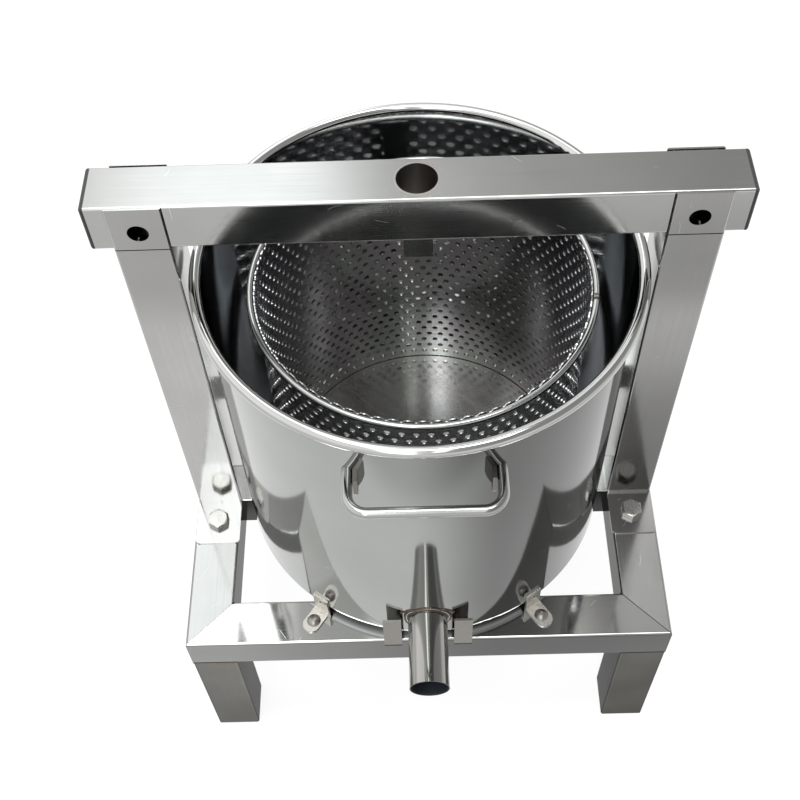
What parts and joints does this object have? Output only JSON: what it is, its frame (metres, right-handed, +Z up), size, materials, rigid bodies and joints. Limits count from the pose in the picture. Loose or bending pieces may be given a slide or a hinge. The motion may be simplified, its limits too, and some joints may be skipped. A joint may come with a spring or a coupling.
{
  "type": "honey press",
  "caption": "Stainless-steel honey press: square-tube stand with a crossbeam in forks, deep pot with spout and loop handles, and a perforated basket inside.",
  "frame": {"origin": "middle of the footprint on the ground, which is 16.4 mm in front of the pot's axis", "axes": "+Z up; -Y is the front, where the spout points; +X to the right seen from the front, along the crossbeam"},
  "size_m": [0.454, 0.4132, 0.5915],
  "materials": {
    "satin_tube": "semi-bright stainless square tube and folded sheet, fine scratches, heat tint at the welds",
    "polished_pot": "mirror-polished stainless sheet",
    "polished_rod": "polished stainless rod",
    "basket_sheet": "bright perforated stainless sheet",
    "clip_sheet": "satin stainless sheet, slightly heat-tinted",
    "fastener": "stainless fastener, satin",
    "weld": "weld bead with dark brown heat tint",
    "black_cap": "black moulded plastic"
  },
  "bodies": {
    "stand": {"front_rail": "satin_tube", "rear_rail": "satin_tube", "left_rail": "satin_tube", "right_rail": "satin_tube", "cross_rail": "satin_tube", "front_left_leg": "satin_tube", "front_right_leg": "satin_tube", "rear_left_leg": "satin_tube", "rear_right_leg": "satin_tube", "leg_end_plates": "satin_tube", "left_upright": "satin_tube", "right_upright": "satin_tube", "left_fork": "satin_tube", "right_fork": "satin_tube", "foot_bolts": "fastener", "foot_washers": "fastener", "foot_nuts": "fastener", "pot": "polished_pot", "spout": "polished_pot", "spout_weld": "weld", "front_handle": "polished_rod", "rear_handle": "polished_rod", "handle_lugs": "polished_rod", "front_left_clip": "clip_sheet", "front_right_clip": "clip_sheet", "rear_left_clip": "clip_sheet", "rear_right_clip": "clip_sheet", "clip_screws": "fastener", "left_spout_guide": "satin_tube", "right_spout_guide": "satin_tube"},
    "beam": {"crossbeam": "satin_tube", "left_end_cap": "black_cap", "right_end_cap": "black_cap", "ram_sleeve": "polished_pot", "ram_seat": "clip_sheet"},
    "basket": {"basket_wall": "basket_sheet", "basket_rim": "polished_rod", "basket_floor": "basket_sheet", "basket_feet": "basket_sheet", "basket_seam": "basket_sheet"}
  },
  "joints": [
    {"name": "crossbeam_lift", "type": "slide", "parent": "stand", "child": "beam", "axis": [0, 0, 1], "range_m": [0, 0.06]},
    {"name": "basket_lift", "type": "slide", "parent": "stand", "child": "basket", "axis": [0, 0, 1], "range_m": [0, 0.06]}
  ]
}
